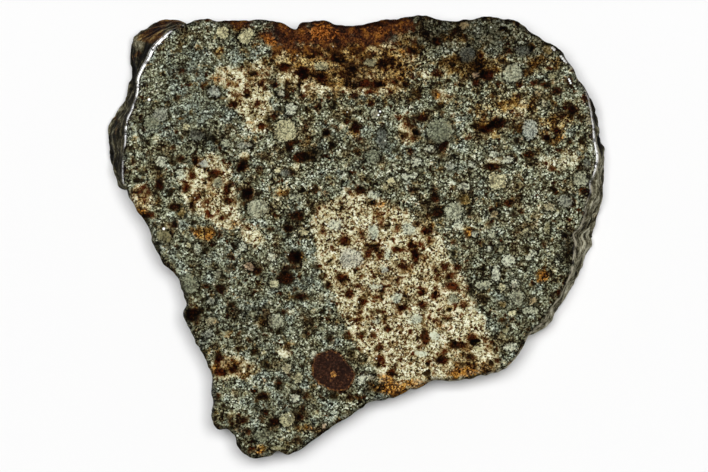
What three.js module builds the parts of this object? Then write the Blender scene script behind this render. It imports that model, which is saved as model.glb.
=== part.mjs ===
// A thick slice sawn out of a stony meteorite, a brecciated chondrite. It is one stone: a flat
// polished face on top, a flat sawn back below, and between them the rough crust of the stone's
// own outside, which no tool has touched. The slice lies on its back and the polished face looks
// along +Z. Millimetres; the origin is under the middle of the slice, on the sawn back.

import * as THREE from 'three';

const THICKNESS = 9; // sawn back to polished face
const BEVEL = 0.18; // rounded edge of the polished face where the wall drops straight
const BEVEL_PER_LEAN = 0.12; // the bevel is wider where the wall leans out, mm per mm of lean
const BEVEL_BEND = [0.35, 0.3]; // where the bevel bends, as shares of its width and its height
const POINTS_PER_STATION = 2; // points round the slice for each station of the outline
const WALL_ROWS = 12; // rows of points down the crust
const NORMAL_SPAN = 3; // points to either side that set which way the wall faces
const HOLLOW_DEPTH = 1.3; // broad hollows in the crust
const HOLLOW_SIZE = 5.5; // spacing of the broad hollows
const DENT_DEPTH = 0.8; // thumb-print dents with ridges between them
const DENT_SIZE = 2.6; // spacing of the dents
const DENT_REACH = 0.9; // how far a dent reaches from its centre, as a share of the spacing
const CRUST_START = 1; // depth under the bevel over which the relief reaches its full height
const EVEN_SPAN = 6; // points to either side over which bumps of the outline are evened out
const EVEN_DEPTH = 3; // depth under the face by which they are evened out
const SWELL_POWER = 1.7; // how much faster the wall swells out under the bevel than lower down
const TUCK_START = 0.72; // share of the wall's height below which it turns back in
const TUCK = 0.25; // how far it turns back in at the sawn back, as a share of the lean
const PUSH_SHARE = 0.35; // share of the wall's height by which it has its full reach
const PUSH_LEAN = 0.3; // lean from which the wall is pushed out to its full reach

// Outline of the polished face, counter-clockwise from above, starting at the upper left
// corner. Each station is [x, y, lean]: lean is how far the crust wall swells out past the
// polished face on its way down to the sawn back, and negative where the wall runs back in.
const stations = [
  // upper bulge of the left flank
  [-19.6, 24.7, 0.1], [-20.5, 24.4, 0.8], [-21.6, 23.9, 1.3], [-22.7, 23.1, 1.8], [-23.5, 22.4, 2],
  [-24, 21.6, 2.3], [-24.5, 20.5, 1.7], [-25.1, 19.4, 1.1],
  // neck, then the lower bulge
  [-25.5, 18.3, 0.9], [-25.5, 17, 1.1], [-25.8, 15.8, 1.1], [-26.2, 14.7, 1.4], [-26.7, 13.6, 1.6],
  [-26.9, 12.2, 2], [-26.9, 11, 1.9], [-27.1, 9.7, 1.7], [-27.2, 8.2, 1.1], [-27.2, 6.9, 0.7],
  [-27, 5.9, 0.6], [-26.6, 5.3, 0.1],
  // lower left edge
  [-26.1, 4, -0.2], [-25.3, 2.8, -0.3], [-24.4, 1.8, -0.5], [-23.9, 0.6, -0.5], [-23.6, -0.6, -0.5],
  [-22.9, -2.1, -0.5], [-22.3, -3.2, -0.5], [-21.5, -3.9, -0.6], [-20.6, -5, -0.6], [-20, -6.8, -0.5],
  [-19.6, -7.9, -0.3], [-20.1, -8.9, -0.3], [-19.4, -10.6, -0.5], [-18.7, -12.1, -0.5],
  [-17.4, -14.3, -0.5], [-16.8, -16.2, -0.6], [-16.8, -17.9, -0.6], [-16.6, -19.3, -0.6],
  [-16.9, -20.8, -0.5], [-16.5, -21.9, -0.3],
  // bottom tip
  [-15.9, -22.4, -0.3], [-15, -22.4, -0.3], [-14.3, -23, -0.3], [-13.6, -24.5, -0.3],
  [-12.9, -25.3, -0.3], [-11.6, -25.7, -0.3], [-10.2, -25.5, -0.3], [-8.7, -25.1, -0.3],
  [-7.7, -25.3, -0.3],
  // lower right edge
  [-6.4, -24.7, -0.5], [-4.5, -23.3, -0.5], [-2.1, -21.6, -0.6], [-0.6, -20.8, -0.6],
  [1.2, -19.5, -0.6], [2.4, -19, -0.6], [3.7, -18.9, -0.6], [6.1, -17.9, -0.5], [7.5, -17.5, -0.5],
  [8.7, -16.8, -0.5], [10.9, -16.8, -0.5], [13.5, -16.5, -0.5], [15.5, -15.9, -0.5],
  [17.4, -15.3, -0.3], [18.4, -14.3, -0.2], [19.3, -13, -0.1], [19.7, -12.1, 0.1],
  // right flank, with the chip in its edge
  [20.3, -11.2, 0.3], [21.7, -10, 0.6], [22.5, -8.6, 0.9], [23.5, -7.3, 0.6], [24.1, -6.1, 0.8],
  [24.8, -4.8, 0.9], [25.2, -3.2, 1.2], [25.4, -1.6, 1.6], [25.5, -0.5, 2.1], [25.2, 0.2, 2.4],
  [25.9, 0.8, 1.9], [26.5, 2.1, 1.6], [26.8, 3.8, 1.7], [27.3, 5, 1.6], [27.3, 6.2, 1.7],
  [27.7, 7, 1.3], [28.1, 8.3, 0.8], [28.2, 9.5, 0.8], [28, 10.5, 0.9], [27.8, 11.5, 0.6],
  [27.7, 12.7, 0.7], [27.5, 13.9, 0.6], [27.3, 15.1, 0.3], [27, 16.3, 0.2], [26.5, 17.3, 0.2],
  // upper right shoulder
  [25.8, 18.1, 0], [25.5, 19, -0.1], [24.4, 20.6, -0.2], [23.7, 21.7, -0.2], [22.7, 22.4, -0.3],
  [22, 22.6, -0.3], [21.2, 23.2, -0.3], [20, 23.9, -0.3], [19.2, 24.6, -0.3], [18.2, 25.1, -0.3],
  [16.8, 25.3, -0.3],
  // top edge, with the notch near its middle
  [14.8, 25.5, -0.5], [13.7, 25.2, -0.5], [11.8, 25.1, -0.5], [10.7, 25.1, -0.5], [9.3, 25.3, -0.5],
  [7.9, 25.7, -0.5], [6.4, 25.6, -0.5], [4.9, 25.2, -0.5], [3.1, 25.1, -0.5], [1.6, 24.8, -0.3],
  [0.6, 24.5, -0.3], [-0.7, 24.5, -0.3], [-2, 24.7, -0.3], [-3.1, 24.9, -0.5], [-4.5, 25.1, -0.5],
  [-5.8, 24.9, -0.3], [-6.5, 24.7, -0.3], [-7, 24.1, -0.2], [-7.7, 24.4, -0.3], [-8.7, 24.8, -0.3],
  [-10.9, 25.1, -0.5], [-13.5, 25.1, -0.5], [-15.3, 25.1, -0.5], [-16.2, 24.9, -0.5],
  [-17.1, 25.2, -0.3], [-18.4, 25.2, -0.2],
];

const CUBE_CORNERS = [0, 1].flatMap((a) => [0, 1].flatMap((b) => [0, 1].map((c) => [a, b, c])));
const STEPS = [-1, 0, 1];
const CUBE_AROUND = STEPS.flatMap((a) => STEPS.flatMap((b) => STEPS.map((c) => [a, b, c])));

// The outline as a closed smooth curve; the third coordinate carries the lean along.
function outlinePoints() {
  const corners = stations.map(([x, y, lean]) => new THREE.Vector3(x, y, lean));
  const curve = new THREE.CatmullRomCurve3(corners, true, 'centripetal');
  return curve.getPoints(stations.length * POINTS_PER_STATION).slice(0, -1);
}

// The level direction straight out of the stone at each point of the outline.
function outwardDirections(outline) {
  const count = outline.length;
  return outline.map((_, i) => {
    const before = outline[(i + count - NORMAL_SPAN) % count];
    const after = outline[(i + NORMAL_SPAN) % count];
    return new THREE.Vector2(after.y - before.y, before.x - after.x).normalize();
  });
}

// A number between 0 and 1 that looks random, the same each time for one lattice point.
function scatter(i, j, k, salt) {
  const wave = 43758.5453 * Math.sin(i * 12.9898 + j * 78.233 + k * 37.719 + salt * 4.581);
  return wave - Math.floor(wave);
}

// Smooth lumps: a random number at each lattice point, blended between the eight nearest.
function lumps(x, y, z) {
  const [i, j, k] = [Math.floor(x), Math.floor(y), Math.floor(z)];
  const [u, v, w] = [x - i, y - j, z - k].map((t) => t * t * (3 - 2 * t));
  let sum = 0;
  for (const [a, b, c] of CUBE_CORNERS) {
    const weight = (a ? u : 1 - u) * (b ? v : 1 - v) * (c ? w : 1 - w);
    sum += weight * scatter(i + a, j + b, k + c, 0);
  }
  return sum;
}

// Dents: every lattice cube holds one centre at a random place, and a point's share of dent
// falls from 1 at the nearest centre to 0 at the dent's reach, so ridges stand between them.
function dents(x, y, z) {
  const [i, j, k] = [Math.floor(x), Math.floor(y), Math.floor(z)];
  let nearest = DENT_REACH ** 2;
  for (const [a, b, c] of CUBE_AROUND) {
    const [p, q, r] = [i + a, j + b, k + c];
    const alongX = p + scatter(p, q, r, 1) - x;
    const alongY = q + scatter(p, q, r, 2) - y;
    const alongZ = r + scatter(p, q, r, 3) - z;
    nearest = Math.min(nearest, alongX ** 2 + alongY ** 2 + alongZ ** 2);
  }
  return 1 - nearest / DENT_REACH ** 2;
}

// Relief of the crust at a place on the wall, in millimetres and always inward.
function crustRelief(x, y, z) {
  const hollow = lumps(x / HOLLOW_SIZE, y / HOLLOW_SIZE, z / HOLLOW_SIZE + 0.4);
  const dent = dents(x / DENT_SIZE, y / DENT_SIZE, z / DENT_SIZE + 0.3);
  return -HOLLOW_DEPTH * hollow * hollow - DENT_DEPTH * dent;
}

// How far out of the stone each point of the outline moves when the outline's bumps and
// notches are evened out: to the mean of its neighbours.
function waysToEven(outline, outwards) {
  const count = outline.length;
  return outline.map((rim, i) => {
    const mean = new THREE.Vector2();
    for (let step = -EVEN_SPAN; step <= EVEN_SPAN; step += 1) {
      const near = outline[(i + step + count) % count];
      mean.add(new THREE.Vector2(near.x, near.y));
    }
    mean.divideScalar(2 * EVEN_SPAN + 1);
    return mean.sub(new THREE.Vector2(rim.x, rim.y)).dot(outwards[i]);
  });
}

// How much of the lean the wall has reached at a share of its height, 0 at the polished face
// and 1 at the sawn back: it swells out fast at first, then runs down straight, and turns back
// in a little at the foot.
function swell(share, lean) {
  if (lean < 0) return share;
  const tucked = Math.max(0, (share - TUCK_START) / (1 - TUCK_START));
  return 1 - (1 - share) ** SWELL_POWER - TUCK * tucked * tucked;
}

// A point of the stone's skin: the outline moved level by how far out the skin is at that depth.
function skinPoint(rim, outward, outBy, depth) {
  return [rim.x + outward.x * outBy, rim.y + outward.y * outBy, THICKNESS - depth];
}

// The points of the crust wall below one point of the outline, from the bevel to the sawn back.
// The wall never stands out past its lean, nor past the polished face where the lean is
// negative. Where it swells out it is pushed out again until its highest ridge below the
// push share reaches the lean, so that the relief doesn't make the slice smaller.
function wallColumn(rim, outward, bevel, wayToEven) {
  const furthest = Math.max(0, rim.z);
  const column = [];
  for (let row = 0; row <= WALL_ROWS; row += 1) {
    const share = row / WALL_ROWS;
    const below = share * (THICKNESS - bevel);
    const plain = rim.z * swell(share, rim.z) + wayToEven * Math.min(1, below / EVEN_DEPTH);
    const [x, y, z] = skinPoint(rim, outward, plain, bevel + below);
    const relief = Math.min(1, below / CRUST_START) * crustRelief(x, y, z);
    column.push({ share, depth: bevel + below, outBy: Math.min(furthest, plain + relief) });
  }
  const lower = column.filter((point) => point.share >= PUSH_SHARE);
  const missing = furthest - Math.max(...lower.map((point) => point.outBy));
  const push = missing * Math.min(1, furthest / PUSH_LEAN);
  return column.map(({ share, depth, outBy }) => {
    const pushed = Math.min(furthest, outBy + push * Math.min(1, share / PUSH_SHARE));
    return skinPoint(rim, outward, pushed, depth);
  });
}

// The rings of points from the polished face down to the sawn back, each as long as the
// outline: two for the bevel, then the wall.
function skinRings(outline, outwards) {
  const waysOut = waysToEven(outline, outwards);
  const columns = outline.map((rim, i) => {
    const bevel = BEVEL + BEVEL_PER_LEAN * Math.max(0, rim.z);
    const flatEdge = skinPoint(rim, outwards[i], -bevel, 0);
    const bend = skinPoint(rim, outwards[i], -BEVEL_BEND[0] * bevel, BEVEL_BEND[1] * bevel);
    return [flatEdge, bend, ...wallColumn(rim, outwards[i], bevel, waysOut[i])];
  });
  return columns[0].map((_, ring) => columns.map((column) => column[ring]));
}

// The closed stone: the rings joined down the wall, and the first and last ring filled flat.
function stoneGeometry() {
  const outline = outlinePoints();
  const rings = skinRings(outline, outwardDirections(outline));
  const count = outline.length;
  const faces = [];
  for (let ring = 0; ring < rings.length - 1; ring += 1) {
    for (let i = 0; i < count; i += 1) {
      const next = (i + 1) % count;
      const upper = ring * count;
      const lower = upper + count;
      faces.push(upper + i, lower + i, lower + next);
      faces.push(upper + i, lower + next, upper + next);
    }
  }
  const flat = (ring) => ring.map(([x, y]) => new THREE.Vector2(x, y));
  const lastStart = (rings.length - 1) * count;
  for (const [a, b, c] of THREE.ShapeUtils.triangulateShape(flat(rings[0]), [])) {
    faces.push(a, b, c);
  }
  for (const [a, b, c] of THREE.ShapeUtils.triangulateShape(flat(rings.at(-1)), [])) {
    faces.push(lastStart + a, lastStart + c, lastStart + b);
  }
  const geometry = new THREE.BufferGeometry();
  geometry.setAttribute('position', new THREE.Float32BufferAttribute(rings.flat(2), 3));
  geometry.setIndex(faces);
  geometry.computeBoundingBox();
  const { min, max } = geometry.boundingBox;
  geometry.translate(-(min.x + max.x) / 2, -(min.y + max.y) / 2, 0);
  geometry.computeVertexNormals();
  return geometry;
}

// Grey-green chondrite with rust-brown specks, seen from a step away as one dull olive grey.
const chondrite = new THREE.MeshStandardMaterial({
  color: 0x5d5a46,
  roughness: 0.55,
  metalness: 0.05,
  flatShading: true,
});

const slice = new THREE.Mesh(stoneGeometry(), chondrite);
slice.name = 'meteorite_slice';

const meteorite = new THREE.Group();
meteorite.add(slice);

export default meteorite;
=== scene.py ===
import bpy
import numpy as np
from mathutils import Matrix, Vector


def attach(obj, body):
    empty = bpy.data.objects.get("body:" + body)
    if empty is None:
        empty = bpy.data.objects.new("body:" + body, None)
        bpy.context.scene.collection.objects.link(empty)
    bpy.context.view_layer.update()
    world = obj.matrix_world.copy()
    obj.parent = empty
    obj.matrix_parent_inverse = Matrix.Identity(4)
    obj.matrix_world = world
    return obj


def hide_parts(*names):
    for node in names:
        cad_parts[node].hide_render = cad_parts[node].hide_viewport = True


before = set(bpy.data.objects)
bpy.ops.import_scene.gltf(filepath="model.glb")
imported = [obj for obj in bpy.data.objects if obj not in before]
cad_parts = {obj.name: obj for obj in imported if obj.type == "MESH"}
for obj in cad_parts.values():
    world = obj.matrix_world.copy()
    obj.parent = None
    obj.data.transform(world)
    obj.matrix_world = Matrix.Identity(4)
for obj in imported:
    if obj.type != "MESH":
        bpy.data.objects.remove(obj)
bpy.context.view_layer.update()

# A thick sawn slice of a chondrite: polished face up, rough crust round the edge, sawn back
# down. Shapes are worked out in millimetres and put into the mesh in metres.

MM = 0.001
THICKNESS = 9.0  # sawn back to polished face
CENTRE = np.array([-2.0, 2.0])  # every point of the outline can be seen from here
HALF_GRID = 100  # squares from the middle of the polished face to its edge
CLOSE_TO_EDGE = 0.9985  # where the last square but one lies, as a share of the way out
COLUMNS = 8 * HALF_GRID  # points round the slice
WALL_ROWS = 56  # rows down the crust
OUTLINE_CORNERS = 400  # of the path that depths in from the outline are measured from

BEVEL = 0.2  # rounded edge of the polished face, where it isn't ground wider
# shares of the bevel's width in from the rim, and of its height down from the face
BEVEL_PROFILE = [(1, 0), (0.9, 0.04), (0.6, 0.21), (0.3, 0.39), (0.08, 0.62)]
OUT_SPAN = 20  # points each way that set the direction straight out
EVEN_SPAN = 21  # points each way over which the foot of the wall is evened out
EVEN_DEPTH = 3.0  # below the bevel, from where the wall is evened out in full
RIM_DEPTH = 0.5  # below the bevel, by when the ragged rim gives way to the fine relief
PUSH_SHARE = 0.35  # share of the wall's height by which it has its full reach
PUSH_LEAN = 0.3  # lean from which the wall is pushed out to its full reach
FOOT_HEIGHT = 0.12  # of the small bevel round the sawn back
FOOT_INSET = 0.1  # its width
BACK_SIZES = (0.99, 0.88, 0.74, 0.6, 0.45, 0.3, 0.15, 0.05)  # of the sawn back's inner rings
# the crust's small relief: ledges (length, height, depth, salt), bumps (size, height, salt)
LEDGES = ((5, 1.5, 0.26, 8), (2.4, 0.8, 0.22, 9), (1.3, 0.5, 0.14, 4))
BUMPS = ((1.4, 0.1, 5), (0.7, 0.16, 6), (0.36, 0.12, 7))

# The flat map is 78 mm square: the face at full size, the wall above it in two strips, and
# the back, turned a quarter and smaller, in the column to the right.
MAP_SIDE = 78.0
MAP_FACE = (29.5, 26.5)
MAP_STRIPS_TOP = 76.5
MAP_STRIP = 11.5
MAP_STRIP_SCALE = 0.95
MAP_BACK = (68.5, 10.5)
MAP_BACK_SCALE = 0.33

FAR_OUTSIDE = -9.0  # a depth too far outside a thing for it to show
BACK_SHIFT = (2.5, -1.5)  # how far over the saw met the fragments on the back
BACK_SHRINK = 1.4  # how much less deep they are there
MEAN_VALUE = 0.43  # of the groundmass's light and dark
# Grains that lie over it, from small to large: their spacing, the share of cells that hold
# one, its least half width and how much more it may have, the share of the value below that
# shows through, the value of its own, and how much that varies from grain to grain.
GRAIN_LAYERS = (
    (0.42, 0.5, 0.3, 0.24, 0.85, 0.54, 0.42),
    (0.68, 0.4, 0.26, 0.24, 0.8, 0.57, 0.42),
    (1.15, 0.22, 0.22, 0.22, 0.7, 0.58, 0.42),
)

FLOOR = 2.0  # metres from the middle of the paper to its edges
VIEW_WIDTH = 82.13  # what the camera sees of the plane of the polished face
VIEW_CENTRE = (-0.23, 0.06)
LENS = 500  # long and far away, so that the flanks show as from straight above
SENSOR = 36

# Outline of the polished face, counter-clockwise from above, starting at the upper left
# corner: [x, y, lean]. The lean is how far the crust swells out past the polished face on its
# way down to the sawn back, and negative where the wall runs back in.
STATIONS = np.array([
    # upper bulge of the left flank
    [-19.6, 24.7, 0.2], [-20.5, 24.4, 1], [-21.6, 23.9, 1.6], [-22.7, 23.1, 2],
    [-23.5, 22.4, 2.2], [-24, 21.6, 2.4], [-24.5, 20.5, 2], [-25.1, 19.4, 1.3],
    # neck, then the lower bulge
    [-25.5, 18.3, 0.9], [-25.5, 17, 1.1], [-25.8, 15.8, 1.1], [-26.2, 14.7, 1.4],
    [-26.7, 13.6, 1.6], [-26.9, 12.2, 2], [-26.9, 11, 1.9], [-27.1, 9.7, 1.7],
    [-27.2, 8.2, 1.1], [-27.2, 6.9, 0.7], [-27, 5.9, 0.6], [-26.6, 5.3, 0.1],
    # lower left edge
    [-26.1, 4, -0.2], [-25.3, 2.8, -0.3], [-24.4, 1.8, -0.5], [-23.9, 0.6, -0.5],
    [-23.6, -0.6, -0.5], [-22.9, -2.1, -0.5], [-22.3, -3.2, -0.5], [-21.5, -3.9, -0.6],
    [-20.6, -5, -0.6], [-20, -6.8, -0.5], [-19.6, -7.9, -0.3], [-20.1, -8.9, -0.3],
    [-19.4, -10.6, -0.5], [-18.7, -12.1, -0.5], [-17.4, -14.3, -0.5], [-16.8, -16.2, -0.6],
    [-16.8, -17.9, -0.6], [-16.6, -19.3, -0.6], [-16.9, -20.8, -0.5], [-16.5, -21.9, -0.3],
    # bottom tip
    [-15.9, -22.4, -0.3], [-15, -22.4, -0.3], [-14.3, -23, -0.3], [-13.6, -24.5, -0.3],
    [-12.9, -25.3, -0.3], [-11.6, -25.7, -0.3], [-10.2, -25.5, -0.3], [-8.7, -25.1, -0.3],
    [-7.7, -25.3, -0.3],
    # lower right edge
    [-6.4, -24.7, -0.5], [-4.5, -23.3, -0.5], [-2.1, -21.6, -0.6], [-0.6, -20.8, -0.6],
    [1.2, -19.5, -0.6], [2.4, -19, -0.6], [3.7, -18.9, -0.6], [6.1, -17.9, -0.5],
    [7.5, -17.5, -0.5], [8.7, -16.8, -0.5], [10.9, -16.8, -0.5], [13.5, -16.5, -0.5],
    [15.5, -15.9, -0.5], [17.4, -15.3, -0.3], [18.4, -14.3, -0.2], [19.3, -13, -0.1],
    [19.7, -12.1, 0.1],
    # right flank, with the chip in its edge
    [20.3, -11.2, 0.3], [21.7, -10, 0.6], [22.5, -8.6, 0.9], [23.5, -7.3, 0.6],
    [24.1, -6.1, 0.8], [24.8, -4.8, 0.9], [25.2, -3.2, 1.2], [25.4, -1.6, 1.6],
    [25.5, -0.5, 2.1], [25.2, 0.2, 2.4], [25.9, 0.8, 1.9], [26.5, 2.1, 1.6],
    [26.8, 3.8, 1.7], [27.3, 5, 1.6], [27.3, 6.2, 1.7], [27.7, 7, 1.3], [28.1, 8.3, 0.8],
    [28.2, 9.5, 0.8], [28, 10.5, 0.9], [27.8, 11.5, 0.6], [27.7, 12.7, 0.7],
    [27.5, 13.9, 0.6], [27.3, 15.1, 0.3], [27, 16.3, 0.2], [26.5, 17.3, 0.2],
    # upper right shoulder
    [25.8, 18.1, 0], [25.5, 19, -0.1], [24.4, 20.6, -0.2], [23.7, 21.7, -0.2],
    [22.7, 22.4, -0.3], [22, 22.6, -0.3], [21.2, 23.2, -0.3], [20, 23.9, -0.3],
    [19.2, 24.6, -0.3], [18.2, 25.1, -0.3], [16.8, 25.3, -0.3],
    # top edge, with the notch near its middle
    [14.8, 25.5, -0.5], [13.7, 25.2, -0.5], [11.8, 25.1, -0.5], [10.7, 25.1, -0.5],
    [9.3, 25.3, -0.5], [7.9, 25.7, -0.5], [6.4, 25.6, -0.5], [4.9, 25.2, -0.5],
    [3.1, 25.1, -0.5], [1.6, 24.8, -0.3], [0.6, 24.5, -0.3], [-0.7, 24.5, -0.3],
    [-2, 24.7, -0.3], [-3.1, 24.9, -0.5], [-4.5, 25.1, -0.5], [-5.8, 24.9, -0.3],
    [-6.5, 24.7, -0.3], [-7, 24.1, -0.2], [-7.7, 24.4, -0.3], [-8.7, 24.8, -0.3],
    [-10.9, 25.1, -0.5], [-13.5, 25.1, -0.5], [-15.3, 25.1, -0.5], [-16.2, 24.9, -0.5],
    [-17.1, 25.2, -0.3], [-18.4, 25.2, -0.2],
])

# Light fragments of another rock in the polished face: their corners.
BIG_FRAGMENT = [
    (-5.3, 2.7), (-4.4, 3.7), (-1.9, 4.6), (-0.5, 5.4), (2.2, 5.4), (5.3, 3.2), (9.7, 0.2),
    (11.6, -3.3), (12.8, -5.3), (13.8, -7.9), (15.3, -10.8), (15.6, -12.6), (16.6, -14.4),
    (16.1, -16.1), (9.7, -16.8), (6.3, -17.6), (4.4, -18.6), (2.9, -16.2), (1.1, -13.8),
    (0.1, -12.2), (-0.9, -10.6), (-1.7, -9), (-2.6, -7.2), (-3.2, -5.4), (-4.5, -4), (-4.9, -1.6),
    (-5.2, 0.4),
]
LEFT_FRAGMENT = [
    (-20.8, 7.4), (-17, 9.4), (-15.3, 8.4), (-14.6, 6.4), (-13.9, 5), (-13.7, 3), (-13.4, 1),
    (-15, 0.8), (-16.8, 1.9), (-19.4, 2.9), (-20.4, 5),
]
EDGE_FRAGMENT = [
    (-26.2, 5.4), (-24.9, 6.2), (-23.9, 5.4), (-23.5, 3.7), (-24.4, 2.5), (-26.1, 3.7),
]
TOP_FRAGMENT = [
    (-9.6, 21.4), (-8.6, 22.6), (-5, 22.4), (-1, 22.2), (3, 23), (6.6, 22.6), (6.8, 20.4),
    (5, 18.8), (5.4, 17), (2, 16.4), (-2, 16.6), (-6, 16.4), (-7.4, 17.4), (-9.2, 18.6),
]
SHOULDER_FRAGMENT = [
    (-16.9, 18.4), (-15.6, 19.6), (-13.4, 19.4), (-11, 20.5), (-9.8, 19.6), (-10.3, 17.6),
    (-9.8, 16.2), (-10.3, 12.4), (-12.6, 12.2), (-13, 13.8), (-14.8, 15.2), (-15, 17.4),
    (-16.2, 17.6),
]
HOOK_FRAGMENT = [
    (4.8, 13.9), (5.8, 14.2), (6.4, 12.6), (7.2, 11.4), (5.9, 10.6), (4.6, 11.2), (5.1, 12.5),
]
ROUND_FRAGMENT = [
    (-13.5, 0.3), (-12.6, 1.4), (-11.4, 0.7), (-10.7, -0.4), (-11.8, -1.3), (-12.8, -0.6),
]
RINGED_FRAGMENT = [
    (-17, -14.6), (-15.4, -13.8), (-13.9, -13.6), (-12.2, -14.2), (-11.3, -15.4), (-12.2, -16.7),
    (-14.6, -16.6), (-16.6, -16.4),
]
FRAGMENTS = [
    BIG_FRAGMENT, LEFT_FRAGMENT, EDGE_FRAGMENT, TOP_FRAGMENT, SHOULDER_FRAGMENT, HOOK_FRAGMENT,
    ROUND_FRAGMENT, RINGED_FRAGMENT,
]

# Fine pale crack beside the big fragment, and the corners of the dark troilite nodule.
CRACK = [(-1, -10.4), (0.2, -12.2), (1.1, -13.8), (2, -15.2), (2.5, -15.8)]
NODULE = [
    (-4.3, -13.5), (-2.9, -13.1), (-1.7, -13.7), (-0.7, -14.9), (-0.1, -15.9), (-0.5, -17.1),
    (-1.3, -17.9), (-2.5, -18.1), (-3.8, -17.5), (-4.8, -16.5), (-5.1, -15.1), (-4.8, -14.1),
]

# Soft-edged stains and shades: (x, y, half width, half height, strength).
PALE_PATCHES = [
    (24.8, 8.7, 2.4, 1.9, 0.6), (22.5, 8.6, 2.4, 1.8, 0.6), (-8.6, 18.4, 0.9, 0.7, 0.9),
    (19.2, 14.6, 1, 1.2, 0.9), (8, 18.6, 0.9, 0.8, 0.9), (9.6, 16.6, 1.5, 1.2, 0.7),
    (-7.2, -9, 2.6, 1.6, 0.45), (-8.4, -13.5, 1.2, 0.5, 0.9), (-13.2, 9.2, 1.2, 0.5, 0.8),
    (24.9, 19, 0.7, 0.5, 0.8), (-11.2, -9.9, 0.9, 0.5, 0.7), (16.4, 9, 1.6, 0.6, 0.8),
    (-16.4, 16.8, 1.1, 0.8, 0.6), (12, 1.2, 0.9, 0.6, 0.8), (-3.9, -7.3, 1, 0.9, 0.5),
]
COOL_PATCHES = [
    (-19, 16.5, 6.5, 7, 1), (-17, -4, 5, 7, 0.8), (-9, -18.5, 7, 6, 0.7), (3.5, 10.5, 7, 4, 0.6),
    (-7.5, -6.5, 4, 5.5, 0.7), (18.5, -6.5, 4, 5, 0.6),
]
RUST_PATCHES = [
    (-1.6, 20.4, 8.4, 3.8, 1.3), (-8, 20.8, 2.6, 2.4, 0.9), (17.5, 14.8, 5.5, 2.6, 0.7),
    (3.5, 19.8, 4, 3, 1.2), (13.4, -14.8, 3.6, 1.8, 0.9), (22.6, 13, 3.6, 2.4, 0.75),
    (15.8, 13.2, 1.8, 1.8, 0.8), (13.6, 19.8, 5.2, 2, 1), (11.5, 22.8, 2.4, 1.4, 0.5),
    (5.6, 22.9, 1.8, 1.4, 0.9), (21.6, 20, 3, 2.6, 0.6), (-24.6, 17.5, 1.2, 3, 0.3),
    (4.4, -17.4, 2.6, 1.4, 0.9), (12.5, -15.6, 2.2, 1.1, 0.8), (16.8, -14.6, 1.2, 1, 0.6),
    (-14.6, -15, 2.8, 1.8, 0.8), (5, -4, 7, 7, 0.5), (-17, 5, 3.4, 3.2, 0.15),
    (-5, -22.4, 1.4, 1, 0.7), (-10.9, -24.6, 1.2, 0.8, 0.8), (-23.8, 23.8, 1.6, 1.2, 1.5),
    (-25.4, 21.2, 0.9, 0.9, 0.8), (-21.2, 25, 1.6, 0.8, 1), (-28.2, 12.8, 0.9, 2, 0.7),
    (28.6, 2, 1.2, 4, 0.5), (-24.9, 3.6, 1.2, 1.2, 0.8), (-16, 21.8, 1, 0.7, 0.8),
    (-13.4, 24.4, 1.2, 0.8, 0.9), (-17.4, 0.4, 2, 1, 0.9), (-5.6, 10.2, 2, 1.2, 0.6),
    (-0.1, 11.9, 0.8, 1.3, 1), (-8.6, 5.2, 1, 0.9, 0.8), (8, 1, 2.2, 1.2, 0.8),
    (12.8, 0.8, 0.6, 0.9, 1), (21.6, -4.8, 1, 0.9, 0.9), (-13, 8, 1.1, 0.9, 0.8),
]
BURNT_PATCHES = [
    (-7.4, 23.6, 3.6, 2, 1), (-3, 23.8, 4, 1.9, 1), (2, 24, 3.8, 1.9, 1),
    (-13.4, 24.9, 1.8, 0.7, 0.9), (5, 24.5, 1.8, 1.2, 0.9),
]
ORANGE_PATCHES = [
    (-4.4, 23.9, 1.3, 0.9, 1.2), (-3, 23.4, 0.9, 0.7, 1), (-9.9, 22.7, 0.7, 0.6, 0.8),
    (-8, 24.2, 0.7, 0.5, 0.9), (3, 24.2, 0.7, 0.6, 0.6), (5.5, 21.7, 0.4, 0.3, 0.9),
    (24, 11.5, 0.7, 0.5, 0.7), (22.2, 13.2, 1, 0.7, 0.4), (2.7, 3.6, 0.5, 0.45, 1.2),
    (4.4, -17.5, 1.4, 0.9, 1.4), (3.4, -16.6, 0.7, 0.5, 1), (6.9, -17, 1.6, 0.5, 1.1),
    (12.7, -15.8, 1.6, 0.6, 1.4), (17.8, -14.7, 0.5, 0.4, 0.8), (-24.8, 3.1, 0.5, 0.4, 1),
    (-15.9, 18.1, 0.7, 0.4, 1), (-2.7, -16.1, 0.6, 0.5, 1), (-5, -22.5, 0.5, 0.5, 0.8),
    (21.6, -4.9, 0.7, 0.6, 0.9), (-16.9, 0, 0.8, 0.5, 0.9), (-18.6, 0.2, 0.5, 0.4, 0.8),
    (-14.4, 1.3, 0.8, 0.4, 0.8), (12.9, 0.6, 0.4, 0.7, 0.7), (9.4, 16.5, 0.4, 0.4, 0.8),
    (-11, -24.8, 0.6, 0.4, 0.8), (-10.6, -16.6, 0.4, 0.4, 0.6), (10.3, -10.5, 0.5, 0.4, 0.5),
    (-12.3, 13.4, 0.4, 0.3, 0.9), (-16.5, -15.4, 0.4, 1, 0.5), (23.8, 1.1, 0.4, 0.3, 0.8),
]
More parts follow.
